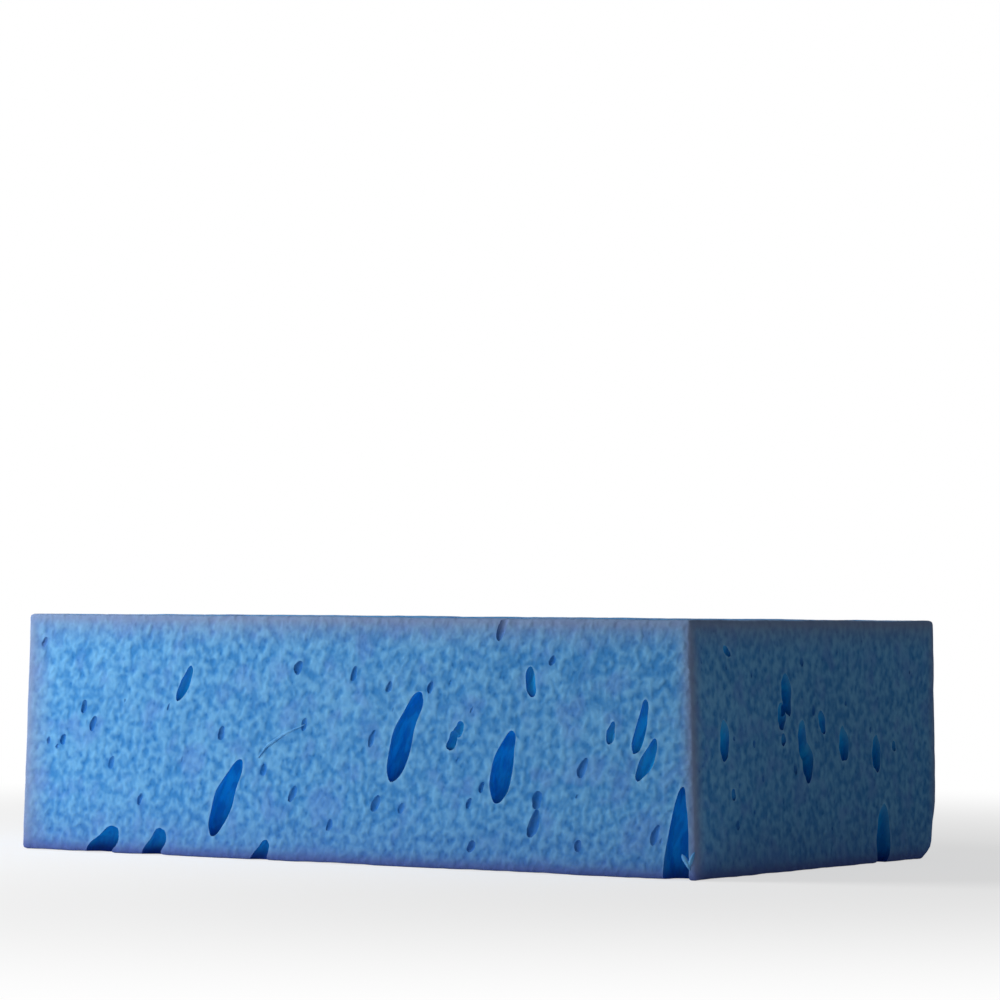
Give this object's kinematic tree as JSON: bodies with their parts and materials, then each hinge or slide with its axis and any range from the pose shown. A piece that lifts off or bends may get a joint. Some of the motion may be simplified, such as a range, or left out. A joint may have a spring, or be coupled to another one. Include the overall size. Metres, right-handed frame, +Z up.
{
  "type": "cleaning sponge",
  "caption": "Rectangular block of coarse blown foam with slanted bubbles cut open on its faces and edges, and a worn corner.",
  "frame": {"origin": "middle of the foot, the broad face that the block lies on", "axes": "+X along the length, +Y along the width towards the back, +Z up through the thickness"},
  "size_m": [0.15, 0.09, 0.045],
  "materials": {
    "foam": "matt open-cell foam, dyed through, with darker bubble walls"
  },
  "bodies": {
    "root": {"foam_block": "foam"}
  },
  "joints": []
}
